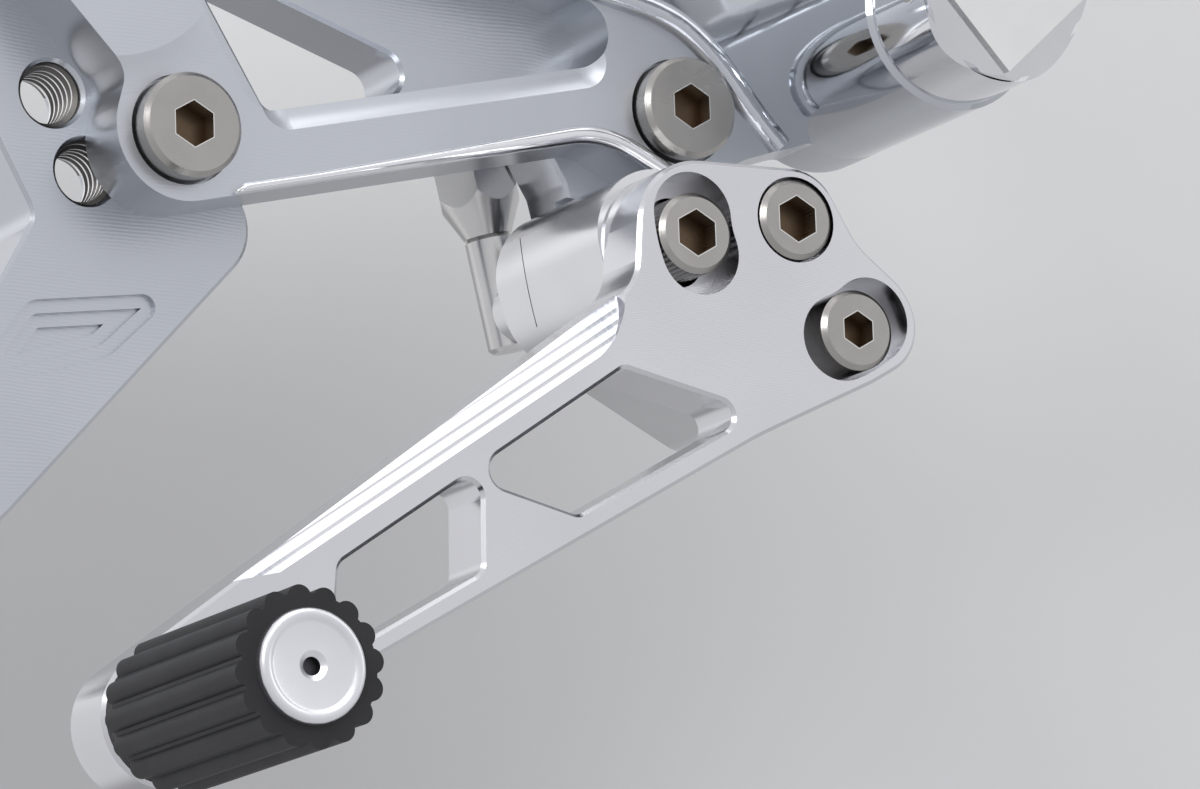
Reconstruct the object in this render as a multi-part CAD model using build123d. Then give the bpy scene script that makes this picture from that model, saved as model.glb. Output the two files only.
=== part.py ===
from build123d import *
import math
import os

# Rear set for the left side of a motorcycle: base plate, footpeg carrier, folding footpeg
# and gear lever with its linkage. Millimetres, +Z up, +X to the rear, -Y away from the bike.
# Sketches are drawn in the side view, as (x, z) from the first carrier screw hole, and
# "out" is the distance from the back of the base plate away from the bike.

# Plate stack
base_thickness = 10.0
carrier_thickness = 9.0
arm_rise = 0.9
lever_thickness = 9.0
run_gap = 0.3
pin_clearance = 0.05
screw_clearance = 0.3
edge_chamfer = 0.45
grip_chamfer = 0.6

# Screws: shank, head diameter, head height, hexagon across flats
m8_shank, m8_head, m8_head_height, m8_hex = 8.0, 13.0, 5.0, 5.0
m6_shank, m6_head, m6_head_height, m6_hex = 6.0, 10.0, 6.0, 5.0
m6_low_hex = 4.0
pocket_clearance = 0.35
hex_depth = 3.0

# Frame mounting
frame_hole_upper = (-42.0, 26.0)
frame_hole_lower = (-44.0, -27.0)
frame_bore = 8.4
spacer_diameter = 20.0
spacer_length = 14.0

# Carrier screw grid in the base plate
grid_hole_a = (0.0, 0.0)
grid_hole_b = (-0.9, -10.3)
thread_mouth = 8.9
carrier_screw_front = (8.6, -11.3)
carrier_screw_rear = (72.6, -38.5)
carrier_screw_top = (10.1, 37.8)
screw_recess = 1.8
screw_boss_radius = 8.8

# Carrier relief
foot_center = (11.9, 15.8)
foot_radius = 21.6
foot_sweep = 4.5
scoop_radius = 7.0
scoop_height = 6.0
scoop_inset = 0.8
ridge_radius = 1.8
ridge_sink = 1.2

# Footpeg
peg_center = (98.0, -43.35)
peg_boss_radius = 12.1
peg_radius = 11.4
boss_edge = 0.6
boss_end = 45.0
collar_length = 13.8
peg_boss_fillet = 5.5
collar_groove = 0.5
collar_groove_width = 0.6
collar_groove_back = 1.7
peg_stop_thickness = 1.2
peg_stop_turn = 12.0
peg_stop_side = 8.6
peg_stop_down = 7.2
peg_stop_up = 5.0
peg_bevel_depth = 3.4
peg_slot_width = 8.0
peg_slot_back = 4.6
hinge_rise = 6.0
hinge_set_off = 4.0
hinge_pin_diameter = 4.0
tongue_clearance = 0.3
spigot_radius = 8.0
spigot_length = 24.0
grip_diameter = 17.0
grip_length = 78.0
grip_groove_count = 8
grip_groove_width = 2.4
grip_groove_depth = 0.8
grip_cap_length = 3.0

# Gear lever
lever_gap = 26.2
toe_center = (-44.2, -69.4)
toe_end_radius = 8.0
bolt_upper = (49.3, -51.2)
bolt_middle = (63.0, -55.8)
bolt_lower = (63.3, -71.2)
pocket_depth = 5.5
slot_half_angle = 9.0
bevel_depth = 2.1
bevel_width = 4.7
bevel_flutes = 4
flute_sag = 0.05
pivot_center = (63.2, -63.5)
pivot_diameter = 8.0
bush_outer_diameter = 12.0
bush_length = 5.0
hub_cover_thickness = 3.2
hub_lobe_radius = 8.7
hub_sweep_radius = 13.0
hub_sweep_depth = 3.3

# Toe peg
toe_rubber_radius = 9.15
toe_rubber_start = 3.0
toe_rubber_length = 33.5
toe_rib_count = 16
toe_rib_radius = 1.45
toe_spindle_radius = 5.0
toe_flange_radius = 6.5
toe_flange_height = 1.9
toe_center_drill = 2.0

# Shift link
link_pin_diameter = 4.0
link_pin_reach = 2.2
link_spacer_diameter = 7.5
link_center = (50.6, -51.6)
link_rod_radius = 3.1
link_axis_back = 5.4
link_lean = 18.0
link_end_below = 4.2
link_rod_length = 10.7
link_taper_length = 5.5
link_hex_flats = 10.0
link_hex_length = 12.0
link_stud_length = 22.0
link_nut_height = 4.0
link_ball_radius = 6.0
link_eye_thickness = 7.0

# Planes of the stack, measured outward
carrier_back = base_thickness
carrier_face = carrier_back + carrier_thickness
arm_face = carrier_face + arm_rise
hub_back = base_thickness + run_gap
lever_back = hub_back + lever_gap
lever_face = lever_back + lever_thickness
collar_face = boss_end + collar_length
hub_cover_face = hub_back + hub_cover_thickness
link_pin_out = hub_cover_face + 6.0
bushes_out = lever_back - 12.5
toe_rubber_out = lever_face + toe_rubber_start
toe_end_out = toe_rubber_out + toe_rubber_length
hinge_out = boss_end + peg_slot_back + hinge_set_off
hinge_height = peg_center[1] + hinge_rise
stop_face = collar_face + peg_stop_thickness
grip_start = stop_face + 0.1 - hinge_out
bolt_seat_peg = carrier_back + m8_head_height + 1.0

SIDE = Plane.XZ


def rounded(corners):
    """Face from corners (x, z, radius), with an arc in place of each corner."""
    edges = []
    arcs = []
    count = len(corners)
    for i in range(count):
        x, z, radius = corners[i]
        here = Vector(x, z)
        before = Vector(*corners[i - 1][:2])
        after = Vector(*corners[(i + 1) % count][:2])
        back = (before - here).normalized()
        ahead = (after - here).normalized()
        half = math.radians(back.get_angle(ahead)) / 2
        if radius <= 0 or half > math.radians(89.5):
            arcs.append((here, None, here))
            continue
        reach = radius / math.tan(half)
        middle = here + (back + ahead).normalized() * (radius / math.sin(half) - radius)
        arcs.append((here + back * reach, middle, here + ahead * reach))
    for i in range(count):
        start, middle, end = arcs[i]
        if middle is not None:
            edges.append(ThreePointArc(start, middle, end))
        edges.append(Line(end, arcs[(i + 1) % count][0]))
    return make_face(Wire(edges))


def slab(face, inner, outer):
    """Solid from a side-view face between two outward distances."""
    return extrude(SIDE.offset(inner) * face, outer - inner)


def disc(center, radius, inner, outer):
    """Cylinder across the plates."""
    return slab(Pos(*center) * Circle(radius), inner, outer)


def ring_chamfer(center, radius, out, depth):
    """Cone that breaks the mouth of a bore at the outward face."""
    cone = Cone(radius, radius + depth, depth, align=(Align.CENTER, Align.CENTER, Align.MAX))
    return SIDE.offset(out) * Pos(*center) * cone


def socket_screw(center, seat, size, hexagon, length):
    """Cap screw: head outward of its seat, shank toward the bike."""
    shank, head, height = size
    body = Cylinder(head / 2, height, align=(Align.CENTER, Align.CENTER, Align.MIN))
    body = chamfer(body.edges().group_by(Axis.Z)[-1], grip_chamfer)
    body += Cylinder(shank / 2, length, align=(Align.CENTER, Align.CENTER, Align.MAX))
    socket = extrude(RegularPolygon(hexagon / math.sqrt(3), 6), hex_depth)
    body -= Pos(0, 0, height - hex_depth) * socket
    return SIDE.offset(seat) * Pos(*center) * body


m8_size = (m8_shank, m8_head, m8_head_height)
m6_size = (m6_shank, m6_head, m6_head_height)


def carrier_outline():
    """Side view of the carrier, with the screw bosses and the footpeg boss as corner radii."""
    front_x, front_z = carrier_screw_front
    rear_x, rear_z = carrier_screw_rear
    top_x, top_z = carrier_screw_top
    peg_x, peg_z = peg_center
    boss = screw_boss_radius
    return rounded([
        (front_x - boss, front_z - 0.74 * boss, boss),
        (front_x - boss, front_z + 0.42 * boss, boss),
        (front_x - 3.3, front_z + 9.2, 3.0),
        (top_x - 9.0, top_z - 21.5, 14.0),
        (top_x - 9.0, top_z + 9.2, 8.9),
        (top_x + 8.3, top_z + 9.2, 8.9),
        (peg_x + peg_boss_radius, peg_z + 5.5, peg_boss_radius),
        (peg_x + peg_boss_radius, peg_z - peg_boss_radius, peg_boss_radius),
        (peg_x - 5.1, peg_z - peg_boss_radius, peg_boss_radius),
        (rear_x + 15.2, rear_z - 11.4, 3.0),
        (rear_x + 5.2, rear_z - 9.2, 12.0),
        (rear_x - 5.0, rear_z - 9.2, 7.0),
        (rear_x - 12.2, rear_z + 1.7, 4.0),
    ])


def window_corners():
    """Corners of the carrier's window: front, rear and top."""
    front = (carrier_screw_front[0] + 10.0, carrier_screw_front[1] - 2.2)
    rear = (carrier_screw_rear[0] + 10.1, carrier_screw_rear[1] + 4.6)
    top = (carrier_screw_top[0] + 8.5, carrier_screw_top[1] - 12.7)
    return front, rear, top


def carrier_window():
    front, rear, top = window_corners()
    return rounded([(*front, 3.5), (*rear, 4.5), (*top, 3.5)])


def ridge_path():
    """Centre line of the ridge: along the window, then round the rear screw."""
    front, rear, top = window_corners()
    along = (Vector(*rear) - Vector(*top)).normalized()
    beside = Vector(-along.Y, along.X) * 1.8
    start = Vector(*top) + along * 8.0 + beside
    bend = Vector(*top) + along * 72.0 + beside
    rear_screw = Vector(*carrier_screw_rear)
    curve = Spline(bend, rear_screw + Vector(6.5, 8.9), rear_screw + Vector(8.6, 2.3),
                   rear_screw + Vector(10.8, -10.0), tangents=(along, Vector(0.25, -1)))
    return [Line(start, bend), curve]


def raised_outline():
    """Side view of the higher face: all that lies above the ridge and the foot of the arm."""
    path = ridge_path()
    start = path[0].position_at(0)
    end = path[1].position_at(1)
    corners = [end, Vector(140, end.Y), Vector(140, 70), Vector(-20, 70),
               Vector(-20, foot_center[1]), Vector(*foot_center), start]
    edges = path + [Line(corners[i], corners[i + 1]) for i in range(len(corners) - 1)]
    return make_face(Wire(edges))


def arm_foot():
    """Disc whose concave rim is the foot of the raised arm above the front screw."""
    inner = foot_radius - foot_sweep
    low = carrier_face - 1.0
    bow = 0.28 * arm_rise
    profile = make_face(Wire([
        Line((0, low), (foot_radius, low)),
        Line((foot_radius, low), (foot_radius, carrier_face + 0.03)),
        ThreePointArc((foot_radius, carrier_face + 0.03),
                      (foot_radius - foot_sweep / 2, carrier_face + bow), (inner, arm_face)),
        Line((inner, arm_face), (0, arm_face)),
        Line((0, arm_face), (0, low)),
    ]))
    return SIDE * Pos(*foot_center) * revolve(Plane.XZ * profile, Axis.Z)


def window_scoop():
    """Long ball-ended cutter for the hollow along the lower edge of the window."""
    front, rear, top = window_corners()
    along = (Vector(*rear) - Vector(*front)).normalized()
    beside = Vector(-along.Y, along.X)
    start = Vector(*front) + along * 4.6 + beside * scoop_inset
    length = 42.0
    place = Plane(origin=(start.X, -carrier_face - scoop_height, start.Y),
                  z_dir=(along.X, 0, along.Y))
    body = Cylinder(scoop_radius, length, align=(Align.CENTER, Align.CENTER, Align.MIN))
    body += Sphere(scoop_radius)
    body += Pos(0, 0, length) * Sphere(scoop_radius)
    return place * body


def boss_fillet():
    """Ring that blends the footpeg boss into the plate with a concave curve."""
    size = peg_boss_fillet
    rim = peg_boss_radius + size
    low = carrier_face - 1.0
    dip = size * (1 - math.sqrt(0.5))
    profile = make_face(Wire([
        Line((peg_boss_radius - 1, low), (rim, low)),
        Line((rim, low), (rim, carrier_face + 0.05)),
        ThreePointArc((rim, carrier_face + 0.05), (peg_boss_radius + dip, carrier_face + dip),
                      (peg_boss_radius, carrier_face + size)),
        Line((peg_boss_radius, carrier_face + size), (peg_boss_radius - 1, carrier_face + size)),
        Line((peg_boss_radius - 1, carrier_face + size), (peg_boss_radius - 1, low)),
    ]))
    return SIDE * Pos(*peg_center) * revolve(Plane.XZ * profile, Axis.Z)


def carrier_plate():
    opened = carrier_outline() - carrier_window()
    body = slab(opened, carrier_back, carrier_face)
    body += slab(opened & raised_outline(), carrier_face, arm_face)
    body += arm_foot() & slab(opened, carrier_back, arm_face)
    body -= window_scoop()
    ridge_line = Wire(ridge_path())
    ridge_start = ridge_line.position_at(0)
    section = Plane(origin=ridge_start, z_dir=ridge_line.tangent_at(0)) * Circle(ridge_radius)
    ridge = SIDE.offset(arm_face - ridge_sink) * sweep(section, path=ridge_line)
    body += ridge & slab(opened, carrier_face - 1.0, arm_face + ridge_radius)
    # Footpeg boss
    body += disc(peg_center, peg_boss_radius, carrier_back, boss_end - boss_edge)
    edge = Cone(peg_boss_radius, peg_boss_radius - boss_edge, boss_edge,
                align=(Align.CENTER, Align.CENTER, Align.MAX))
    body += SIDE.offset(boss_end) * Pos(*peg_center) * edge
    body += boss_fillet() & slab(opened, carrier_back, boss_end)
    for center in (carrier_screw_front, carrier_screw_rear, carrier_screw_top):
        body -= disc(center, m8_head / 2 + pocket_clearance, carrier_face - screw_recess, lever_face)
        body -= disc(center, m8_shank / 2 + screw_clearance, 0, carrier_face)
    body -= disc(peg_center, m8_shank / 2 + screw_clearance, 0, boss_end)
    body -= disc(peg_center, m8_head / 2 + pocket_clearance, 0, bolt_seat_peg)
    return body - disc(peg_center, spigot_radius, boss_end - spigot_length, boss_end)


def base_outline():
    """Side view of the base plate: mounting wing, lower strut and lever bracket."""
    return rounded([
        (15.7, -27.7, 7.0),
        (16.4, -19.0, 0),
        (58.2, -32.5, 0),
        (58.2, -39.6, 1.5),
        (57.2, -43.0, 1.5),
        (60.2, -52.0, 6.0),
        (54.0, -57.0, 3.0),
        (54.0, -72.7, 8.6),
        (72.4, -72.7, 8.6),
        (73.4, -58.0, 6.0),
        (81.0, -43.5, 5.0),
        (86.0, -24.0, 8.0),
        (18.4, 43.4, 7.0),
        (2.2, 43.4, 7.0),
        (-24.0, 36.0, 20.0),
        (-53.0, 37.0, 11.0),
        (-55.0, -38.0, 11.0),
        (-36.0, -43.0, 16.0),
    ])


def base_plate():
    face = base_outline()
    face -= rounded([(25.2, -14.4, 2.5), (51.0, -22.6, 3.0), (25.2, 7.8, 2.5)])
    face -= rounded([(-8.6, 20.0, 6.0), (-9.9, -12.0, 3.0), (-33.0, -25.4, 5.0),
                     (-33.0, 15.0, 6.0)])
    body = slab(face, 0, base_thickness)
    outer = body.edges().filter_by_position(Axis.Y, -base_thickness - 0.01, -base_thickness + 0.01)
    body = chamfer(outer, edge_chamfer)
    # Recessed panel with three steps in its floor
    for step in range(3):
        shrink = 1.6 * step
        panel = rounded([(2.4, -28.4, 1.6), (-16.0, -20.6, 3.0), (-31.0, -26.6, 3.0),
                         (-10.0, -31.2, 6.0)])
        panel = offset(panel, -shrink) if step else panel
        body -= slab(panel, base_thickness - 0.7 * (step + 1), base_thickness + 1)
    # Relief round the hub's upper lobe
    body -= disc(bolt_upper, hub_sweep_radius, base_thickness - hub_sweep_depth, base_thickness + 1)
    for center in (grid_hole_a, grid_hole_b):
        body -= disc(center, m8_shank / 2, 0, base_thickness)
        body -= ring_chamfer(center, m8_shank / 2, base_thickness, (thread_mouth - m8_shank) / 2)
    for center in (carrier_screw_front, carrier_screw_rear, carrier_screw_top):
        body -= disc(center, m8_shank / 2, 0, base_thickness)
    for center in (frame_hole_upper, frame_hole_lower):
        body -= disc(center, frame_bore / 2, 0, base_thickness)
    body -= disc(pivot_center, pivot_diameter / 2, 0, base_thickness)
    body -= disc(pivot_center, m8_head / 2 + pocket_clearance, 0, m8_head_height + 0.2)
    return body


def lever_outline():
    """Side view of the gear lever: round toe end, slim arm and head with three lobes."""
    toe_x, toe_z = toe_center
    front = toe_x - toe_end_radius
    corner = toe_end_radius - 0.1
    return rounded([
        (front, toe_z + toe_end_radius - 0.8, corner),
        (38.7, -52.8, 6.0),
        (47.8, -39.8, 9.0),
        (69.4, -52.0, 6.3),
        (69.4, -62.3, 10.0),
        (72.3, -69.5, 6.5),
        (72.3, -77.8, 6.5),
        (62.0, -77.8, 20.0),
        (44.0, -76.3, 60.0),
        (toe_x + 11.5, -75.4, 8.0),
        (toe_x + 4.5, toe_z - toe_end_radius, 8.0),
        (front, toe_z - toe_end_radius, corner),
    ])


def arc_slot(around, middle, half_angle, radius):
    """Curved slot about one screw, centred on another."""
    arm = Vector(*middle) - Vector(*around)
    start = math.degrees(math.atan2(arm.Y, arm.X)) - half_angle
    path = CenterArc(around, arm.length, start, 2 * half_angle)
    ends = [Pos(*path.position_at(t)) * Circle(radius) for t in (0, 1)]
    band = trace(path, 2 * radius)
    return band + ends[0] + ends[1]


def fluted_bevel():
    """Cutter for the wide bevel on top of the lever arm, with lengthwise flutes."""
    inner_toe = Vector(-22.4, -61.45)
    inner_hub = Vector(29.3, -58.35)
    along = (inner_hub - inner_toe).normalized()
    up = Vector(-along.Y, along.X)
    width = bevel_width * 1.3
    drop = bevel_depth * 1.3
    pitch = width / (bevel_flutes + 1)
    slope = math.atan2(drop, width)
    lines = []
    for i in range(bevel_flutes + 1):
        start = Vector(pitch * i, -drop / width * pitch * i)
        end = Vector(pitch * (i + 1), -drop / width * pitch * (i + 1))
        low = (start + end) * 0.5 - Vector(math.sin(slope), math.cos(slope)) * flute_sag
        lines.append(ThreePointArc(start, low, end))
    lines.append(Line((width, -drop), (width, 1.0)))
    lines.append(Line((width, 1.0), (0, 1.0)))
    lines.append(Line((0, 1.0), (0, 0)))
    start = inner_toe - along * 8.0
    section = Plane(origin=(start.X, -lever_face, start.Y), x_dir=(up.X, 0, up.Y),
                    z_dir=(along.X, 0, along.Y))
    if section.y_dir.Y > 0:
        section = Plane(origin=section.origin, x_dir=section.x_dir,
                        z_dir=-section.z_dir)
    reach = 70.0 * (1 if section.z_dir.dot(Vector(along.X, 0, along.Y)) > 0 else -1)
    cutter = extrude(section * make_face(Wire(lines)), reach)
    plan = make_face(Wire([
        Line((-29.0, -59.4), (-22.4, -61.45)),
        Line((-22.4, -61.45), (29.3, -58.35)),
        ThreePointArc((29.3, -58.35), (33.4, -56.7), (36.6, -53.2)),
        Line((36.6, -53.2), (37.4, -46.0)),
        Line((37.4, -46.0), (-29.0, -52.0)),
        Line((-29.0, -52.0), (-29.0, -59.4)),
    ]))
    return cutter & slab(plan, lever_back, lever_face + 1)


def lever_arm():
    face = lever_outline()
    face -= rounded([(7.9, -62.55, 2.0), (1.3, -73.35, 2.0), (-21.6, -73.2, 2.0),
                     (-15.0, -64.0, 2.0)])
    face -= rounded([(31.6, -60.9, 1.5), (45.3, -73.7, 2.0), (16.4, -73.3, 1.6),
                     (5.6, -62.6, 2.3)])
    body = slab(face, lever_back, lever_face)
    rims = body.edges().filter_by_position(Axis.Y, -lever_face - 0.01, -lever_face + 0.01)
    rims += body.edges().filter_by_position(Axis.Y, -lever_back - 0.01, -lever_back + 0.01)
    body = chamfer(rims, edge_chamfer)
    body -= fluted_bevel()
    pocket = m6_head / 2 + pocket_clearance
    shank = m6_shank / 2 + screw_clearance
    floor = lever_face - pocket_depth
    body -= disc(bolt_middle, pocket, floor, lever_face + 1)
    body -= disc(bolt_middle, shank, lever_back, lever_face)
    for center in (bolt_upper, bolt_lower):
        body -= slab(arc_slot(bolt_middle, center, slot_half_angle, pocket), floor, lever_face + 1)
        body -= slab(arc_slot(bolt_middle, center, slot_half_angle, shank), lever_back, lever_face)
    body -= disc(toe_center, m6_shank / 2, lever_back, lever_face)
    body -= disc(toe_center, m6_head / 2 + pocket_clearance, lever_back, lever_back + 3.2)
    return body


def hub_face():
    """Side view of the hub: the hull of its screw bosses and the pivot boss."""
    upper_x, upper_z = bolt_upper
    low_x, low_z = bolt_lower
    lobes = [((upper_x + 0.9, upper_z + 1.0), hub_lobe_radius),
             ((upper_x + 0.3, upper_z - 1.3), hub_lobe_radius), (bolt_middle, 6.4),
             ((low_x + 1.9, low_z), 6.4), ((low_x - 4.8, low_z), 6.35), (pivot_center, 8.2)]
    return make_hull([Edge.make_circle(r).moved(Pos(*c)) for c, r in lobes])


def lever_hub():
    body = slab(hub_face(), hub_cover_face, lever_back)
    for center in (bolt_upper, bolt_middle, bolt_lower):
        body -= disc(center, m6_shank / 2, lever_back - m6_head_height - 2.5, lever_back)
    body -= disc(pivot_center, bush_outer_diameter / 2, hub_cover_face, bushes_out + 2.4)
    return body - disc(link_center, link_pin_diameter / 2, hub_cover_face, link_pin_out)


def hub_cover():
    body = slab(hub_face(), hub_back, hub_cover_face)
    body -= disc(pivot_center, pivot_diameter / 2 + 0.4, 0, hub_cover_face)
    body -= disc(link_center, link_pin_diameter / 2, 0, hub_cover_face)
    return body


def pivot_bush(inner):
    body = disc(pivot_center, bush_outer_diameter / 2, inner, inner + bush_length)
    return body - disc(pivot_center, pivot_diameter / 2 + pin_clearance, inner, inner + bush_length)


def pivot_pin():
    end = bushes_out + 1.9
    body = disc(pivot_center, pivot_diameter / 2, 0, end)
    body += disc(pivot_center, m8_head / 2, 0, m8_head_height + 0.2)
    socket = Pos(*pivot_center) * RegularPolygon(m8_hex / math.sqrt(3), 6)
    body -= slab(socket, 0, hex_depth)
    groove_in = bushes_out + 0.3
    cut = disc(pivot_center, pivot_diameter, groove_in, groove_in + 1.1)
    body -= cut - disc(pivot_center, pivot_diameter / 2 - 0.5, groove_in, groove_in + 1.1)
    return body


def pivot_clip():
    groove_in = bushes_out + 0.3
    body = disc(pivot_center, pivot_diameter / 2 + 1.4, groove_in, groove_in + 1.1)
    body -= disc(pivot_center, pivot_diameter / 2 - 0.5, groove_in, groove_in + 1.1)
    gap = Pos(pivot_center[0], pivot_center[1] - 4.0) * Rectangle(3.0, 6.0)
    return body - slab(gap, groove_in, groove_in + 1.1)


def toe_rubber():
    core = toe_rubber_radius - toe_rib_radius * 0.62
    face = Circle(core)
    for i in range(toe_rib_count):
        angle = 2 * math.pi * i / toe_rib_count
        reach = toe_rubber_radius - toe_rib_radius
        spot = Pos(reach * math.cos(angle), reach * math.sin(angle))
        face += spot * Circle(toe_rib_radius)
    face -= Circle(toe_spindle_radius)
    body = slab(Pos(*toe_center) * face, toe_rubber_out, toe_end_out)
    return body - disc(toe_center, toe_flange_radius, toe_end_out - 0.6, toe_end_out)


def toe_spindle():
    body = disc(toe_center, toe_spindle_radius + 1.5, lever_face, toe_rubber_out)
    body += disc(toe_center, toe_spindle_radius, lever_face, toe_end_out - 0.6)
    return body - disc(toe_center, m6_shank / 2, lever_face, lever_face + 14.0)


def toe_cap():
    body = disc(toe_center, toe_flange_radius, toe_end_out - 0.6, toe_end_out + toe_flange_height - 0.6)
    face_out = toe_end_out + toe_flange_height - 0.6
    rim = body.edges().filter_by_position(Axis.Y, -face_out - 0.01, -face_out + 0.01)
    body = fillet(rim, 0.9)
    return body - disc(toe_center, toe_center_drill / 2, toe_end_out, face_out)


def toe_screw():
    head = disc(toe_center, m6_head / 2, lever_back + 0.2, lever_back + 3.2)
    shank = disc(toe_center, m6_shank / 2, lever_back + 3.2, lever_face + 13.0)
    socket = Pos(*toe_center) * RegularPolygon(m6_low_hex / math.sqrt(3), 6)
    return head + shank - slab(socket, lever_back, lever_back + 2.2)


def link_frame():
    """Plane at the link pin with its z axis up the leaning rod."""
    lean = math.radians(link_lean)
    return Plane(origin=(link_center[0], link_axis_back, link_center[1]), x_dir=(0, -1, 0),
                 z_dir=(math.sin(lean), 0, math.cos(lean)))


def link_piece(radius, low, high):
    body = Cylinder(radius, high - low, align=(Align.CENTER, Align.CENTER, Align.MIN))
    return link_frame() * Pos(0, 0, low) * body


def link_rod():
    body = link_piece(link_rod_radius, -link_end_below, link_rod_length)
    body = chamfer(body.edges().filter_by(GeomType.CIRCLE), 0.5)
    reach = link_pin_reach + pin_clearance
    return body - disc(link_center, link_pin_diameter / 2 + pin_clearance, -link_axis_back - reach, 0)


def link_hexagon(low, height):
    """Hexagonal length of the link, with a flat facing the base plate."""
    face = RegularPolygon(link_hex_flats / math.sqrt(3), 6, rotation=30)
    return extrude(Pos(0, 0, low) * face, height)


def link_coupler():
    body = link_hexagon(link_rod_length, link_hex_length)
    corner = link_hex_flats / math.sqrt(3)
    taper = Cone(link_rod_radius, corner, link_taper_length,
                 align=(Align.CENTER, Align.CENTER, Align.MIN))
    rest = Cylinder(corner, link_hex_length - link_taper_length,
                    align=(Align.CENTER, Align.CENTER, Align.MIN))
    rest = chamfer(rest.edges().group_by(Axis.Z)[-1], 1.2)
    body &= Pos(0, 0, link_rod_length) * (taper + Pos(0, 0, link_taper_length) * rest)
    body -= Pos(0, 0, link_rod_length + link_hex_length / 2) * Cylinder(
        m6_shank / 2, link_hex_length / 2, align=(Align.CENTER, Align.CENTER, Align.MIN))
    return link_frame() * body


link_stud_low = link_rod_length + link_hex_length / 2
link_nut_low = link_rod_length + link_hex_length
link_eye_height = link_stud_low + link_stud_length + 8.0


def link_stud():
    return link_piece(m6_shank / 2, link_stud_low, link_stud_low + link_stud_length)


def link_nut():
    body = link_hexagon(link_nut_low, link_nut_height)
    cut = Cylinder(m6_shank / 2, link_nut_height, align=(Align.CENTER, Align.CENTER, Align.MIN))
    return link_frame() * (body - Pos(0, 0, link_nut_low) * cut)


def link_eye():
    """Rod end with a round eye for the ball, screwed on the stud."""
    start = link_nut_low + link_nut_height
    body = Cylinder(5.0, link_eye_height - start, align=(Align.CENTER, Align.CENTER, Align.MIN))
    body = Pos(0, 0, start) * body
    across = Rot(0, 90, 0)
    body += Pos(0, 0, link_eye_height) * across * Cylinder(9.0, link_eye_thickness)
    body -= Pos(0, 0, link_eye_height) * Sphere(link_ball_radius + pin_clearance)
    stud_end = link_stud_low + link_stud_length
    cut = Cylinder(m6_shank / 2, stud_end - start, align=(Align.CENTER, Align.CENTER, Align.MIN))
    return link_frame() * (body - Pos(0, 0, start) * cut)


def link_ball():
    across = Rot(0, 90, 0)
    keep = Cylinder(link_ball_radius, 9.0)
    body = (Sphere(link_ball_radius) & across * keep) - across * Cylinder(m6_shank / 2, 12.0)
    return link_frame() * Pos(0, 0, link_eye_height) * body


def link_pin():
    """Pin that is fast in the hub and ends inside the rod, which turns on it."""
    body = disc(link_center, link_pin_diameter / 2, -link_axis_back - link_pin_reach, link_pin_out)
    return chamfer(body.edges().filter_by(GeomType.CIRCLE).sort_by(Axis.Y)[-1], 0.4)


def link_spacer():
    inner = -link_axis_back + link_rod_radius + run_gap
    outer = hub_back
    body = disc(link_center, link_spacer_diameter / 2, inner, outer)
    return body - disc(link_center, link_pin_diameter / 2, inner, outer)


def stop_outline(side, down, up):
    """Four-sided outline about the footpeg mount, turned as the stop plate is."""
    face = Polygon((-side, -down), (side, -down), (side, up), (-side, up), align=None)
    return Pos(*peg_center) * Rot(0, 0, peg_stop_turn) * face


def peg_slot():
    top = peg_radius + 5.0
    slot = Pos(peg_center[0], peg_center[1] + top / 2) * Rectangle(peg_slot_width, top)
    return slab(slot, boss_end + peg_slot_back, stop_face + 1)


def peg_collar():
    """Round end of the footpeg mount, with bevelled end and a slot for the folding peg."""
    bevel_start = collar_face - peg_bevel_depth
    around = peg_radius + 0.1
    full = stop_outline(around, around, around)
    plate = stop_outline(peg_stop_side, peg_stop_down, peg_stop_up)
    bevels = loft([SIDE.offset(bevel_start) * full, SIDE.offset(collar_face) * plate])
    body = disc(peg_center, peg_radius, boss_end, collar_face)
    body &= slab(full, boss_end, bevel_start) + bevels
    groove_in = collar_face - collar_groove_back - collar_groove_width
    ring = disc(peg_center, peg_radius + 1.0, groove_in, groove_in + collar_groove_width)
    body -= ring - disc(peg_center, peg_radius - collar_groove, groove_in, groove_in + collar_groove_width)
    body += disc(peg_center, spigot_radius, boss_end - spigot_length, boss_end)
    body -= disc(peg_center, m8_shank / 2, boss_end - spigot_length, boss_end - 4.0)
    body -= peg_slot()
    pin = Cylinder(hinge_pin_diameter / 2, 3 * peg_radius, rotation=(0, 90, 0))
    return body - Pos(peg_center[0], -hinge_out, hinge_height) * pin


def peg_stop():
    """Plate on the end of the mount that the open footpeg rests on."""
    plate = stop_outline(peg_stop_side, peg_stop_down, peg_stop_up)
    return slab(plate, collar_face, stop_face) - peg_slot()


def peg_bolt():
    screw = socket_screw(peg_center, -bolt_seat_peg, m8_size, m8_hex, 24.0)
    return screw.mirror(Plane.XZ)


def footpeg_axis():
    """Plane at the hinge with its z axis up the folded footpeg."""
    return Plane(origin=(peg_center[0], -hinge_out, hinge_height), x_dir=(1, 0, 0), z_dir=(0, 0, 1))


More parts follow.
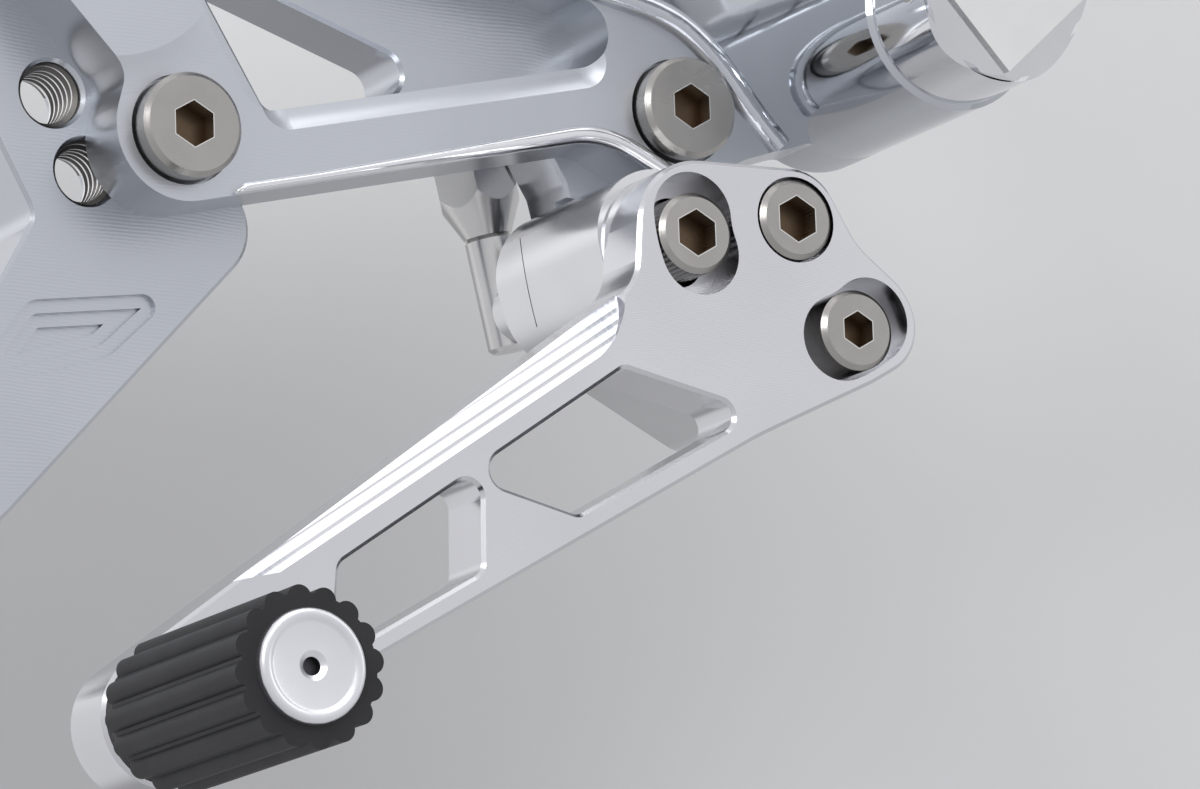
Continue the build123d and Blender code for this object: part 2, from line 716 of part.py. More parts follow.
def footpeg():
    width = peg_slot_width - 2 * tongue_clearance
    nose = hinge_set_off - tongue_clearance
    across = Rot(0, 90, 0)
    body = across * Cylinder(nose, width)
    body += Pos(0, 0, grip_start / 2) * Box(width, 2 * nose, grip_start)
    grip = Cylinder(grip_diameter / 2, grip_length, align=(Align.CENTER, Align.CENTER, Align.MIN))
    pitch = grip_length / (grip_groove_count + 1)
    for i in range(grip_groove_count):
        ring = Cylinder(grip_diameter, grip_groove_width)
        ring -= Cylinder(grip_diameter / 2 - grip_groove_depth, grip_groove_width)
        grip -= Pos(0, 0, pitch * (i + 1)) * ring
    grip -= Pos(0, 0, grip_length - 12.0) * Cylinder(
        m6_shank / 2, 12.0, align=(Align.CENTER, Align.CENTER, Align.MIN))
    body += Pos(0, 0, grip_start) * grip
    body -= across * Cylinder(hinge_pin_diameter / 2 + pin_clearance, 2 * width)
    return footpeg_axis() * body


def footpeg_cap():
    body = Cylinder(grip_diameter / 2 + 0.5, grip_cap_length,
                    align=(Align.CENTER, Align.CENTER, Align.MIN))
    body = chamfer(body.edges().group_by(Axis.Z)[-1], 1.0)
    body -= Cylinder(m6_shank / 2, 2 * grip_cap_length)
    return footpeg_axis() * Pos(0, 0, grip_start + grip_length) * body


def footpeg_cap_screw():
    shank, head = m6_shank / 2, m6_head / 2
    body = Cylinder(head, 3.0, align=(Align.CENTER, Align.CENTER, Align.MIN))
    body = fillet(body.edges().group_by(Axis.Z)[-1], 1.5)
    body -= extrude(Pos(0, 0, 1.0) * RegularPolygon(m6_low_hex / math.sqrt(3), 6), 3.0)
    body += Cylinder(shank, 12.0, align=(Align.CENTER, Align.CENTER, Align.MAX))
    return footpeg_axis() * Pos(0, 0, grip_start + grip_length + grip_cap_length) * body


def footpeg_pin():
    reach = math.sqrt(peg_radius ** 2 - hinge_rise ** 2)
    pin = Cylinder(hinge_pin_diameter / 2, 2 * reach + 1.0, rotation=(0, 90, 0))
    return Pos(peg_center[0], -hinge_out, hinge_height) * pin


def frame_spacer(center):
    body = disc(center, spacer_diameter / 2, -spacer_length, 0)
    return body - disc(center, frame_bore / 2, -spacer_length, 0)


def carrier_screw(center):
    seat = carrier_face - screw_recess
    return socket_screw(center, seat, m8_size, m8_hex, seat - 1.0)


def lever_screw(center, hexagon):
    return socket_screw(center, lever_face - pocket_depth, m6_size, hexagon, 12.0)


pieces = {
    "base_plate": base_plate(),
    "frame_spacer_upper": frame_spacer(frame_hole_upper),
    "frame_spacer_lower": frame_spacer(frame_hole_lower),
    "carrier_plate": carrier_plate(),
    "carrier_screw_front": carrier_screw(carrier_screw_front),
    "carrier_screw_rear": carrier_screw(carrier_screw_rear),
    "carrier_screw_top": carrier_screw(carrier_screw_top),
    "peg_collar": peg_collar(),
    "peg_stop": peg_stop(),
    "peg_bolt": peg_bolt(),
    "footpeg": footpeg(),
    "footpeg_cap": footpeg_cap(),
    "footpeg_cap_screw": footpeg_cap_screw(),
    "footpeg_pin": footpeg_pin(),
    "pivot_pin": pivot_pin(),
    "pivot_clip": pivot_clip(),
    "pivot_bush_inner": pivot_bush(hub_cover_face),
    "pivot_bush_outer": pivot_bush(bushes_out - bush_length),
    "lever_arm": lever_arm(),
    "lever_hub": lever_hub(),
    "hub_cover": hub_cover(),
    "lever_screw_upper": lever_screw(bolt_upper, m6_hex),
    "lever_screw_middle": lever_screw(bolt_middle, m6_hex),
    "lever_screw_lower": lever_screw(bolt_lower, m6_low_hex),
    "toe_rubber": toe_rubber(),
    "toe_spindle": toe_spindle(),
    "toe_cap": toe_cap(),
    "toe_screw": toe_screw(),
    "link_pin": link_pin(),
    "link_spacer": link_spacer(),
    "link_rod": link_rod(),
    "link_coupler": link_coupler(),
    "link_stud": link_stud(),
    "link_nut": link_nut(),
    "link_eye": link_eye(),
    "link_ball": link_ball(),
}

os.makedirs("parts", exist_ok=True)
for name, piece in pieces.items():
    export_step(piece, "parts/" + name + ".step")
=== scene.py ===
import math

import bmesh
import bpy
from mathutils import Matrix, Vector
from mathutils.bvhtree import BVHTree


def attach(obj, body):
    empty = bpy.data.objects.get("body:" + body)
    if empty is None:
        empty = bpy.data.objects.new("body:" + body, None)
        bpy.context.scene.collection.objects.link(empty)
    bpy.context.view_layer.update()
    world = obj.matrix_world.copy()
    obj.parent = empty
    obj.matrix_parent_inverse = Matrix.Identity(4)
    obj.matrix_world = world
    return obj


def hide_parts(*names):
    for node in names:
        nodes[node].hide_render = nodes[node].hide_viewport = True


# Left rear set: milled aluminium plates, lever and hub, with steel screws and a rubber toe peg.
# Metres, in the frame of the part: +X to the rear, +Z up, -Y towards the rider's foot.

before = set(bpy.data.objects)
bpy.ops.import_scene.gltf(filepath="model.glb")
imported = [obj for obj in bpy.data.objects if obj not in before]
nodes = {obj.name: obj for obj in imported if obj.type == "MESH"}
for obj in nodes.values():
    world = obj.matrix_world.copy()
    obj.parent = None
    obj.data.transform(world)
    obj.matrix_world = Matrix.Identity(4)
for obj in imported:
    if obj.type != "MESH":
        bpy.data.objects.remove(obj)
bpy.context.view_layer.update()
MM = 0.001

# Camera, at the photograph's viewing angle
CAMERA_AT = Vector((-0.39101, -0.73525, -0.01204))
CAMERA_FORWARD = Vector((0.51710, 0.85367, -0.06215))
CAMERA_UP = Vector((0.42985, -0.19622, 0.88132))
LENS_MM = 204.0
SENSOR_MM = 36.0
PHOTO_WIDTH, PHOTO_HEIGHT = 1200.0, 789.0

forward = CAMERA_FORWARD.normalized()
up = (CAMERA_UP - forward * forward.dot(CAMERA_UP)).normalized()
right = forward.cross(up)

# Places in the side view (x, z) and distances outward from the base plate's back, in millimetres
CARRIER_FACE = 19.0
ARM_FACE = 19.9
RIDGE_BEND, RIDGE_ASIDE = (72.8, -22.3), (0.677, 0.736)
RIDGE_END, RIDGE_BEHIND = (83.4, -48.5), (0.984, 0.177)
BEVEL_HUB, BEVEL_TO_HUB = (30.5, -55.5), (0.94, 0.34)
BEVEL_TOE, BEVEL_TO_TOE = (-21.0, -60.5), (-1.0, 0.0)
TOE_CENTER = (-44.2, -69.4)
TOE_CAP_SEAT = 81.4
BEAD_START, BEAD_CORNER, BEAD_END = (10.3, -21.0), (60.4, -36.8), (66.4, -45.9)
THREADED_HOLES = {"thread_upper": (0.0, 0.0), "thread_lower": (-0.9, -10.3)}

# Screws: centre, face of the head, knurls round the head, hexagon across its flats
SCREWS = {
    "carrier_screw_front": ((8.6, -11.3), 22.2, 0.0, 5.0),
    "carrier_screw_rear": ((72.6, -38.5), 22.2, 0.0, 5.0),
    "carrier_screw_top": ((10.1, 37.8), 22.2, 0.0, 5.0),
    "lever_screw_upper": ((49.3, -51.2), 46.0, 46.0, 5.0),
    "lever_screw_middle": ((63.0, -55.8), 46.0, 46.0, 5.0),
    "lever_screw_lower": ((63.3, -71.2), 46.0, 0.0, 4.0),
}

# Grain of the surfaces: noise scales per metre and heights of the bump
MILL_BLOTCH_SCALE = 45.0
MILL_GRAIN_SCALE = 2600.0
BRUSH_SCALE = 900.0
WEAR_SCALE = 120.0
TURNING_SCALE = 5200.0
# Scales of the lever bevel's streaks of painted reflection
PAINTED_STREAK_SCALES = (2400.0, 60.0, 120.0)
RUBBER_GRAIN_SCALE = 1500.0
RUBBER_DUST_SCALE = 180.0
MILL_DEPTH = 0.02 * MM
BRUSH_DEPTH = 0.015 * MM
RUBBER_DEPTH = 0.03 * MM
# Width of the painted highlight round a socket's rim, and radius of a socket's painted shade
SOCKET_HIGHLIGHT_WIDTH = 0.12 * MM
SOCKET_SHADE_RADIUS = 3.0 * MM


# Shader helpers

def add_socket(group, name, kind, way="INPUT", value=None):
    """Adds one named socket to a node group."""
    socket = group.interface.new_socket(name=name, in_out=way, socket_type="NodeSocket" + kind)
    if value is not None:
        socket.default_value = value


def new_group(name, outputs):
    """Starts a node group that puts out the named values."""
    group = bpy.data.node_groups.new(name, "ShaderNodeTree")
    for output in outputs:
        add_socket(group, output, "Float", "OUTPUT")
    return group, group.nodes.new("NodeGroupInput"), group.nodes.new("NodeGroupOutput")


def make(tree, kind, **values):
    """Adds a node and sets its properties or its input sockets by name."""
    node = tree.nodes.new("ShaderNode" + kind)
    for key, value in values.items():
        if hasattr(node, key):
            setattr(node, key, value)
        else:
            node.inputs[key.replace("_", " ")].default_value = value
    return node


def feed(tree, value, socket):
    """Links another node's socket to an input, or sets the input to plain numbers."""
    if isinstance(value, bpy.types.NodeSocket):
        tree.links.new(value, socket)
    else:
        socket.default_value = value


def math_node(tree, operation, *values):
    """Result of a sum on one or two values, each a socket or a number."""
    node = make(tree, "Math", operation=operation)
    for value, socket in zip(values, node.inputs):
        feed(tree, value, socket)
    return node.outputs[0]


def product(tree, first, *others):
    """Product of sockets and numbers."""
    for other in others:
        first = math_node(tree, "MULTIPLY", first, other)
    return first


def vector_node(tree, operation, *values):
    """Result of a sum on two vectors, each a socket or three numbers."""
    node = make(tree, "VectorMath", operation=operation)
    for value, socket in zip(values, node.inputs):
        feed(tree, value, socket)
    return node.outputs["Value" if operation == "DOT_PRODUCT" else "Vector"]


def split_vector(tree, vector):
    """The three parts of a vector."""
    node = make(tree, "SeparateXYZ")
    tree.links.new(vector, node.inputs[0])
    return node.outputs["X"], node.outputs["Y"], node.outputs["Z"]


def place_on_object(tree):
    """Place on the surface, in the object's own coordinates."""
    return make(tree, "TexCoord").outputs["Object"]


def facing_out(tree):
    """How squarely the surface faces along Y, from 0 to 1."""
    normal = make(tree, "NewGeometry").outputs["True Normal"]
    return math_node(tree, "ABSOLUTE", split_vector(tree, normal)[1])


def noise(tree, place, scale, detail, roughness=0.5):
    """Noise over the surface, from 0 to 1."""
    node = make(tree, "TexNoise", Scale=scale, Detail=detail, Roughness=roughness)
    tree.links.new(place, node.inputs["Vector"])
    return node.outputs["Fac"]


def remap(tree, value, first, last, low=0.0, high=1.0, easing="LINEAR"):
    """Value that runs from first to last while the given one goes from low to high."""
    node = make(tree, "MapRange", interpolation_type=easing, From_Min=low, From_Max=high,
                To_Min=first, To_Max=last)
    tree.links.new(value, node.inputs["Value"])
    return node.outputs["Result"]


def mix(tree, factor, first, second, kind="RGBA"):
    """Mix of two colours or numbers, each a socket or plain."""
    node = make(tree, "Mix", data_type=kind)
    for key, value in (("Factor", factor), ("A", first), ("B", second)):
        opaque = (*value, 1.0) if isinstance(value, tuple) else value
        feed(tree, opaque, node.inputs[key])
    return node.outputs["Result"]


def distance_along(tree, place, start, axis):
    """How far each place lies from a start along an axis."""
    return vector_node(tree, "DOT_PRODUCT", vector_node(tree, "SUBTRACT", place, start), axis)


def beyond_line(tree, place, point, normal, soft=0.4 * MM):
    """Mask that is 1 on the side of a line in the side view that its normal points to."""
    reach = distance_along(tree, place, (point[0] * MM, 0.0, point[1] * MM),
                           (normal[0], 0.0, normal[1]))
    return remap(tree, reach, 0.0, 1.0, -soft, soft)


# Surface effects, each a node group

def milled_group():
    """Height of fine cutter arcs on plate faces, and a mask that is 1 on those faces."""
    group, enter, leave = new_group("milled_face", ("Height", "Face", "Blotch"))
    add_socket(group, "Pitch", "Float", value=0.6 * MM)
    add_socket(group, "Waviness", "Float", value=1.0)
    cutter_lean, cutter_sway = 0.62, 3.0 * MM
    arc_height, grain_height = 0.35, 0.9
    flat_from = 0.985
    place = place_on_object(group)
    x, _, z = split_vector(group, place)
    blotch = noise(group, place, MILL_BLOTCH_SCALE, 2.0)
    sway = product(group, blotch, enter.outputs["Waviness"], cutter_sway)
    path = math_node(group, "ADD", product(group, x, cutter_lean), z)
    path = math_node(group, "ADD", path, sway)
    turns = math_node(group, "DIVIDE", path, enter.outputs["Pitch"])
    arcs = math_node(group, "SINE", product(group, turns, 2 * math.pi))
    grain = noise(group, place, MILL_GRAIN_SCALE, 3.0, 0.7)
    height = math_node(group, "ADD", product(group, arcs, arc_height),
                       product(group, grain, grain_height))
    flat = math_node(group, "GREATER_THAN", facing_out(group), flat_from)
    for name, value in (("Height", height), ("Face", flat), ("Blotch", blotch)):
        group.links.new(value, leave.inputs[name])
    return group


def brushed_group():
    """Height of fine scratches along a chosen stretch of the surface, and broad wear."""
    group, enter, leave = new_group("fine_brush", ("Height", "Wear"))
    add_socket(group, "Stretch", "Vector", value=(1.0, 1.0, 1.0))
    place = place_on_object(group)
    stretched = vector_node(group, "MULTIPLY", place, enter.outputs["Stretch"])
    group.links.new(noise(group, stretched, BRUSH_SCALE, 4.0, 0.65), leave.inputs["Height"])
    group.links.new(noise(group, place, WEAR_SCALE, 3.0), leave.inputs["Wear"])
    return group


def hexagon_highlight_mask(group, x, z, half_flats, face):
    """Mask of a thin line round a hexagon that has two corners along X, where a highlight is
    painted.
    """
    aslant_x = product(group, x, math.cos(math.pi / 6))
    aslant_z = product(group, z, math.sin(math.pi / 6))
    flats = math_node(group, "ABSOLUTE", z)
    for way in ("ADD", "SUBTRACT"):
        aside = math_node(group, "ABSOLUTE", math_node(group, way, aslant_x, aslant_z))
        flats = math_node(group, "MAXIMUM", flats, aside)
    beyond = math_node(group, "ABSOLUTE", math_node(group, "SUBTRACT", flats, half_flats))
    near = math_node(group, "LESS_THAN", beyond, SOCKET_HIGHLIGHT_WIDTH)
    used = math_node(group, "GREATER_THAN", half_flats, 0.0)
    return product(group, near, used, face)


def turned_group():
    """Turning rings and side knurls round an axis along Y, and the masks of a socket's painted
    shade and of its rim's painted highlight.
    """
    group, enter, leave = new_group("turned_face", ("Height", "Core", "Rim"))
    add_socket(group, "Center", "Vector", value=(0.0, 0.0, 0.0))
    add_socket(group, "Knurls", "Float", value=0.0)
    add_socket(group, "Hexagon", "Float", value=0.0)
    side_below, knurl_height = 0.4, 3.0
    place = vector_node(group, "SUBTRACT", place_on_object(group), enter.outputs["Center"])
    x, _, z = split_vector(group, place)
    square = math_node(group, "ADD", product(group, x, x), product(group, z, z))
    radius = math_node(group, "SQRT", square)
    rings = make(group, "TexNoise", noise_dimensions="1D", Scale=1.0, Detail=2.0)
    group.links.new(product(group, radius, TURNING_SCALE), rings.inputs["W"])
    angle = math_node(group, "ARCTAN2", z, x)
    teeth = math_node(group, "SINE", product(group, angle, enter.outputs["Knurls"]))
    side = math_node(group, "LESS_THAN", facing_out(group), side_below)
    face = math_node(group, "SUBTRACT", 1.0, side)
    height = math_node(group, "ADD", product(group, rings.outputs["Fac"], face),
                       product(group, teeth, side, knurl_height))
    core = math_node(group, "LESS_THAN", radius, SOCKET_SHADE_RADIUS)
    rim = hexagon_highlight_mask(group, x, z, enter.outputs["Hexagon"], face)
    for name, value in (("Height", height), ("Core", core), ("Rim", rim)):
        group.links.new(value, leave.inputs[name])
    return group


MILLED = milled_group()
BRUSHED = brushed_group()
TURNED_FACE = turned_group()


# Materials

def new_material(name, color, metallic, roughness):
    """Starts a material, with plain values on its shader."""
    material = bpy.data.materials.new(name)
    material.use_nodes = True
    tree = material.node_tree
    shader = tree.nodes["Principled BSDF"]
    shader.inputs["Base Color"].default_value = (*color, 1.0)
    shader.inputs["Metallic"].default_value = metallic
    shader.inputs["Roughness"].default_value = roughness
    return material, tree, shader


def dress(tree, shader, color, rough, height, strength, depth):
    """Leads colour, roughness and bump to the shader."""
    tree.links.new(color, shader.inputs["Base Color"])
    tree.links.new(rough, shader.inputs["Roughness"])
    bump = make(tree, "Bump", Strength=strength, Distance=depth)
    tree.links.new(height, bump.inputs["Height"])
    tree.links.new(bump.outputs["Normal"], shader.inputs["Normal"])


def milled_surface(tree, dark, light, pitch, waviness, rough_face, rough_wall):
    """Colour, roughness and height of milled faces with brushed walls and edges."""
    use = make(tree, "Group", node_tree=MILLED, Pitch=pitch, Waviness=waviness)
    color = mix(tree, remap(tree, use.outputs["Blotch"], 0.2, 1.0), dark, light)
    rough = remap(tree, use.outputs["Face"], rough_wall, rough_face)
    return color, rough, product(tree, use.outputs["Height"], use.outputs["Face"])


def plate_metal():
    """Milled base plate."""
    dark, light, rough_face = (0.46, 0.48, 0.515), (0.56, 0.58, 0.615), 0.33
    material, tree, shader = new_material("plate_aluminium", light, 1.0, rough_face)
    surface = milled_surface(tree, dark, light, 0.55 * MM, 1.0, rough_face, 0.20)
    dress(tree, shader, *surface, 0.50, MILL_DEPTH)
    return material


def carrier_metal():
    """Milled plate that is polished beyond its ridge, on the ridge and on the round boss."""
    dark, light, rough_face = (0.48, 0.50, 0.535), (0.58, 0.60, 0.635), 0.33
    polish_rough, above_arm, below_face = 0.07, 0.05, 1.0
    material, tree, shader = new_material("carrier_aluminium", light, 1.0, rough_face)
    color, rough, height = milled_surface(tree, dark, light, 0.55 * MM, 0.6, rough_face, 0.30)
    place = place_on_object(tree)
    line = beyond_line(tree, place, RIDGE_BEND, RIDGE_ASIDE)
    tail = beyond_line(tree, place, RIDGE_END, RIDGE_BEHIND)
    y = split_vector(tree, place)[1]
    proud = math_node(tree, "LESS_THAN", y, -(ARM_FACE + above_arm) * MM)
    outer = math_node(tree, "LESS_THAN", y, -(CARRIER_FACE - below_face) * MM)
    polished = product(tree, math_node(tree, "MAXIMUM", line, tail), outer)
    polished = math_node(tree, "MAXIMUM", polished, proud)
    rough = mix(tree, polished, rough, polish_rough, "FLOAT")
    height = product(tree, height, math_node(tree, "SUBTRACT", 1.0, polished))
    dress(tree, shader, color, rough, height, 0.22, MILL_DEPTH)
    return material


def lever_metal():
    """Fine milled lever, whose wide bevel is polished, with grey streaks painted at its two ends
    as a painted reflection of the flutes there.
    """
    dark, light, rough_face = (0.56, 0.56, 0.585), (0.70, 0.70, 0.725), 0.32
    painted_streak_grey, bevel_from, bevel_to = (0.42, 0.44, 0.49), 0.80, 0.975
    material, tree, shader = new_material("lever_aluminium", light, 1.0, rough_face)
    color, rough, height = milled_surface(tree, dark, light, 0.24 * MM, 0.3, rough_face, 0.16)
    place = place_on_object(tree)
    tilt = facing_out(tree)
    bevel = product(tree, math_node(tree, "GREATER_THAN", tilt, bevel_from),
                    math_node(tree, "LESS_THAN", tilt, bevel_to))
    hub_end = beyond_line(tree, place, BEVEL_HUB, BEVEL_TO_HUB, 2.2 * MM)
    toe_end = beyond_line(tree, place, BEVEL_TOE, BEVEL_TO_TOE, 2.5 * MM)
    ends = product(tree, math_node(tree, "MAXIMUM", hub_end, toe_end), bevel)
    # Painted reflection: streaky grey over both ends of the bevel.
    streaks = noise(tree, vector_node(tree, "MULTIPLY", place, PAINTED_STREAK_SCALES), 1.0, 3.0)
    shade = product(tree, ends, remap(tree, streaks, -0.4, 1.6))
    dress(tree, shader, mix(tree, shade, color, painted_streak_grey), rough, height, 0.45, MILL_DEPTH)
    return material


def turned_metal(name, center, head_face, knurls, hexagon, deep, pale):
    """Turned metal with a knurled side, a painted shade that deepens to dark brown down the
    socket, and a painted highlight on the socket's rim.
    """
    socket_shade_brown, rim_highlight = (0.120, 0.084, 0.055), (0.70, 0.69, 0.665)
    shade_from, shade_at, socket_floor = 0.15, 2.6, 3.3
    material, tree, shader = new_material(name, pale, 1.0, 0.28)
    use = make(tree, "Group", node_tree=TURNED_FACE, Knurls=knurls, Hexagon=hexagon / 2 * MM,
               Center=(center[0] * MM, 0.0, center[1] * MM))
    wear = make(tree, "Group", node_tree=BRUSHED).outputs["Wear"]
    y = split_vector(tree, place_on_object(tree))[1]
    sunk = remap(tree, y, 0.0, 1.0, -(head_face - shade_from) * MM, -(head_face - shade_at) * MM)
    above_floor = math_node(tree, "LESS_THAN", y, -(head_face - socket_floor) * MM)
    socket = product(tree, sunk, use.outputs["Core"], above_floor)
    rim = product(tree, use.outputs["Rim"], math_node(tree, "SUBTRACT", 1.0, sunk))
    # Painted shade, darker with depth down the socket.
    color = mix(tree, socket, mix(tree, wear, deep, pale), socket_shade_brown)
    # Painted highlight round the socket's rim.
    color = mix(tree, rim, color, rim_highlight)
    dress(tree, shader, color, remap(tree, wear, 0.20, 0.36), use.outputs["Height"], 0.5,
          MILL_DEPTH)
    return material


def brushed_metal(name, dark, light, rough_low, rough_high, strength, stretch=(1.0, 1.0, 1.0)):
    """Plain metal with fine scratches and a little wear."""
    material, tree, shader = new_material(name, light, 1.0, rough_low)
    use = make(tree, "Group", node_tree=BRUSHED, Stretch=stretch)
    color = mix(tree, use.outputs["Wear"], dark, light)
    rough = remap(tree, use.outputs["Wear"], rough_low, rough_high)
    dress(tree, shader, color, rough, use.outputs["Height"], strength, BRUSH_DEPTH)
    return material


def toe_rubber_black():
    """Black rubber with a fine grain, dusty in places."""
    material, tree, shader = new_material("toe_rubber_black", (0.014, 0.014, 0.015), 0.0, 0.5)
    shader.inputs["Specular IOR Level"].default_value = 0.35
    place = place_on_object(tree)
    grain = noise(tree, place, RUBBER_GRAIN_SCALE, 4.0)
    dust = noise(tree, place, RUBBER_DUST_SCALE, 5.0)
    color = mix(tree, remap(tree, dust, 0.0, 1.0), (0.007, 0.007, 0.0075), (0.024, 0.024, 0.026))
    dress(tree, shader, color, remap(tree, dust, 0.42, 0.68), grain, 0.35, RUBBER_DEPTH)
    return material


PLATE = plate_metal()
CARRIER = carrier_metal()
LEVER = lever_metal()
TURNED = brushed_metal("turned_aluminium", (0.70, 0.70, 0.71), (0.80, 0.80, 0.81),
                       0.14, 0.24, 0.12, (1.0, 6.0, 1.0))
POLISHED = brushed_metal("polished_aluminium", (0.72, 0.73, 0.75), (0.82, 0.83, 0.85),
                         0.05, 0.11, 0.04)
STOP = brushed_metal("stop_aluminium", (0.66, 0.66, 0.65), (0.74, 0.74, 0.73), 0.30, 0.40, 0.1)
STEEL = brushed_metal("screw_steel", (0.40, 0.385, 0.365), (0.56, 0.545, 0.525), 0.22, 0.36, 0.2)
LINK_STEEL = brushed_metal("link_steel", (0.56, 0.555, 0.55), (0.70, 0.695, 0.69),
                           0.16, 0.28, 0.1)
BRONZE = brushed_metal("bush_bronze", (0.40, 0.29, 0.14), (0.58, 0.44, 0.24), 0.25, 0.4, 0.15,
                       (1.0, 4.0, 1.0))
RUBBER = toe_rubber_black()
# Thread metal in a lit and a shaded copy: pale crests carry a painted highlight, dark roots a
# painted shade.
THREAD_CREST_HIGHLIGHT = brushed_metal("thread_crest_highlight", (0.76, 0.76, 0.76), (0.86, 0.86, 0.87),
                             0.26, 0.34, 0.1)
THREAD_ROOT_SHADE = brushed_metal("thread_root_shade", (0.10, 0.095, 0.088), (0.20, 0.19, 0.18),
                            0.35, 0.5, 0.1)
# Near-black metal for painted shadow: the hub's seam and the floor and wall of the toe cap's
# hole.
PAINTED_SHADOW = brushed_metal("seam_shadow", (0.05, 0.05, 0.055), (0.09, 0.09, 0.10), 0.4, 0.5, 0.05)
CAP_FACE = turned_metal("cap_aluminium", TOE_CENTER, TOE_CAP_SEAT, 0.0, 0.0,
                        (0.70, 0.70, 0.73), (0.80, 0.80, 0.83))

FINISH = {
    PLATE: ("base_plate",),
    CARRIER: ("carrier_plate",),
    LEVER: ("lever_arm",),
    TURNED: ("lever_hub", "hub_cover", "toe_spindle", "link_spacer", "footpeg", "footpeg_cap",
             "frame_spacer_upper", "frame_spacer_lower"),
    POLISHED: ("peg_collar", "toe_cap"),
    STOP: ("peg_stop",),
    STEEL: ("peg_bolt", "footpeg_pin", "pivot_pin", "pivot_clip", "toe_screw",
            "footpeg_cap_screw"),
    LINK_STEEL: ("link_rod", "link_coupler", "link_stud", "link_nut", "link_eye", "link_ball",
                 "link_pin"),
    BRONZE: ("pivot_bush_inner", "pivot_bush_outer"),
    RUBBER: ("toe_rubber",),
}
for name, screw in SCREWS.items():
    head_steel = turned_metal("steel_" + name, *screw, (0.33, 0.32, 0.305), (0.45, 0.435, 0.415))
    FINISH[head_steel] = (name,)
for finish, names in FINISH.items():
    for name in names:
        piece = nodes[name]
        piece.data.materials.clear()
        piece.data.materials.append(finish)


# Added detail pieces

SHARP_ANGLE = math.radians(32.0)
WELD_DISTANCE = 1e-6


def side_point(x, out, z):
    """Place in metres from side-view millimetres and a distance outward."""
    return Vector((x * MM, -out * MM, z * MM))


def round_point(center, radius, angle, out):
    """Place on a circle round an axis across the plates."""
    return side_point(center[0] + radius * math.cos(angle), out,
                      center[1] + radius * math.sin(angle))


def to_object(name, mesh, material, body):
    """Turns a bmesh into a smooth shaded piece that rides on a body of the part."""
    data = bpy.data.meshes.new(name)
    bmesh.ops.recalc_face_normals(mesh, faces=mesh.faces)
    mesh.to_mesh(data)
    mesh.free()
    for polygon in data.polygons:
        polygon.use_smooth = True
    data.materials.append(material)
    piece = bpy.data.objects.new(name, data)
    bpy.context.scene.collection.objects.link(piece)
    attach(piece, body)
    return piece


def tapped_thread(name, center):
    """Helical thread inside a tapped hole, as one ridged sleeve that runs out at both ends. Its
    crests are painted pale as highlight and the rest dark as shade.
    """
    crest, root, pitch = 3.38, 3.97, 1.25
    inner, outer = 0.1, 8.1
    steps = 40
    profile = ((0.0, 0.0), (0.25, 0.0), (0.45, 1.0), (0.72, 1.0), (1.0, 0.0))
    crest_highlight_stretch = 2
    count = int((outer - inner) / pitch * steps)
    mesh = bmesh.new()
    rows = []
    for i in range(count + 1):
        angle = 2 * math.pi * i / steps
        run_out = min(i, count - i) / (steps / 2)
        row = []
        for part, rise in profile:
            radius = root - (root - crest) * rise * min(run_out, 1.0)
            out = inner + pitch * (i / steps + part)
            row.append(mesh.verts.new(round_point(center, radius, angle, out)))
        rows.append(row)
    for first, second in zip(rows, rows[1:]):
        for k in range(len(profile) - 1):
            face = mesh.faces.new((first[k], first[k + 1], second[k + 1], second[k]))
            # Crest faces take the painted highlight, the other faces the painted shade.
            face.material_index = 0 if k == crest_highlight_stretch else 1
    bmesh.ops.remove_doubles(mesh, verts=mesh.verts, dist=WELD_DISTANCE)
    piece = to_object(name, mesh, THREAD_CREST_HIGHLIGHT, "base")
    piece.data.materials.append(THREAD_ROOT_SHADE)
    piece.data.set_sharp_from_angle(angle=SHARP_ANGLE)


def loft(name, rings, material, body):
    """Skin over closed rings of points, with its two ends filled."""
    mesh = bmesh.new()
    rows = [[mesh.verts.new(point) for point in ring] for ring in rings]
    for first, second in zip(rows, rows[1:]):
        for k in range(len(first)):
            after = (k + 1) % len(first)
            mesh.faces.new((first[k], first[after], second[after], second[k]))
    mesh.faces.new(rows[0])
    mesh.faces.new(rows[-1])
    return to_object(name, mesh, material, body)


def bead_route():
    """Points along the carrier's lower edge: straight, round its corner and on."""
    start, corner, end = Vector(BEAD_START), Vector(BEAD_CORNER), Vector(BEAD_END)
    corner_reach = 4.6
    straight_steps, corner_steps, end_steps = 40, 12, 8
    into = corner - (corner - start).normalized() * corner_reach
    out = corner + (end - corner).normalized() * corner_reach
    points = [start.lerp(into, i / straight_steps) for i in range(straight_steps + 1)]
    for i in range(1, corner_steps + 1):
        share = i / corner_steps
        points.append(into.lerp(corner, share).lerp(corner.lerp(out, share), share))
    points += [out.lerp(end, i / end_steps) for i in range(1, end_steps + 1)]
    return points


